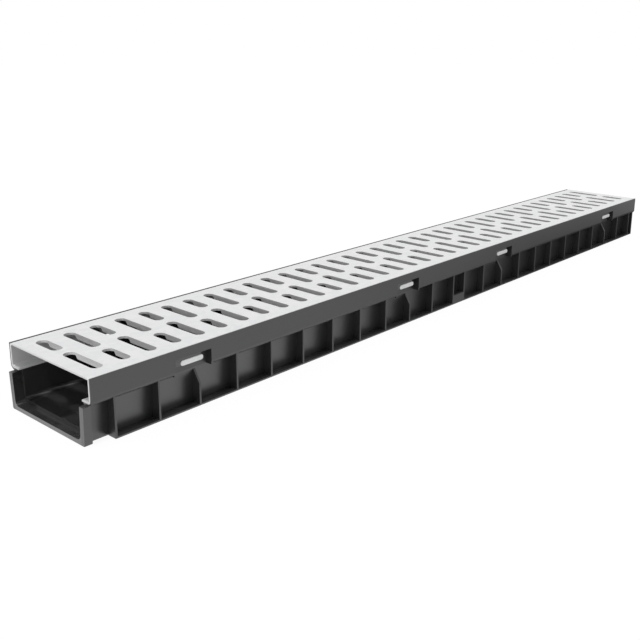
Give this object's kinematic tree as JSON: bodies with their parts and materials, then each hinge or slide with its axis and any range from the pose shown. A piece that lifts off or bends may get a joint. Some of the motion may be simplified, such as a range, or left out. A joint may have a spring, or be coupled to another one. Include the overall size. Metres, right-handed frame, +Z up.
{
  "type": "channel drain",
  "caption": "Straight channel drain: ribbed plastic trough with a socket end and a plain end, carrying a folded steel grating with staggered cross slots",
  "frame": {"origin": "centre of the bounding box's bottom face", "axes": "+X along the channel from the socket end to the plain end, +Y towards one long side, +Z up"},
  "size_m": [1.0088, 0.12, 0.057],
  "materials": {
    "body_plastic": "as moulded, with a satin sheen",
    "grating_steel": "galvanised sheet, satin"
  },
  "bodies": {
    "root": {"channel_body": "body_plastic", "slotted_grating": "grating_steel"}
  },
  "joints": []
}
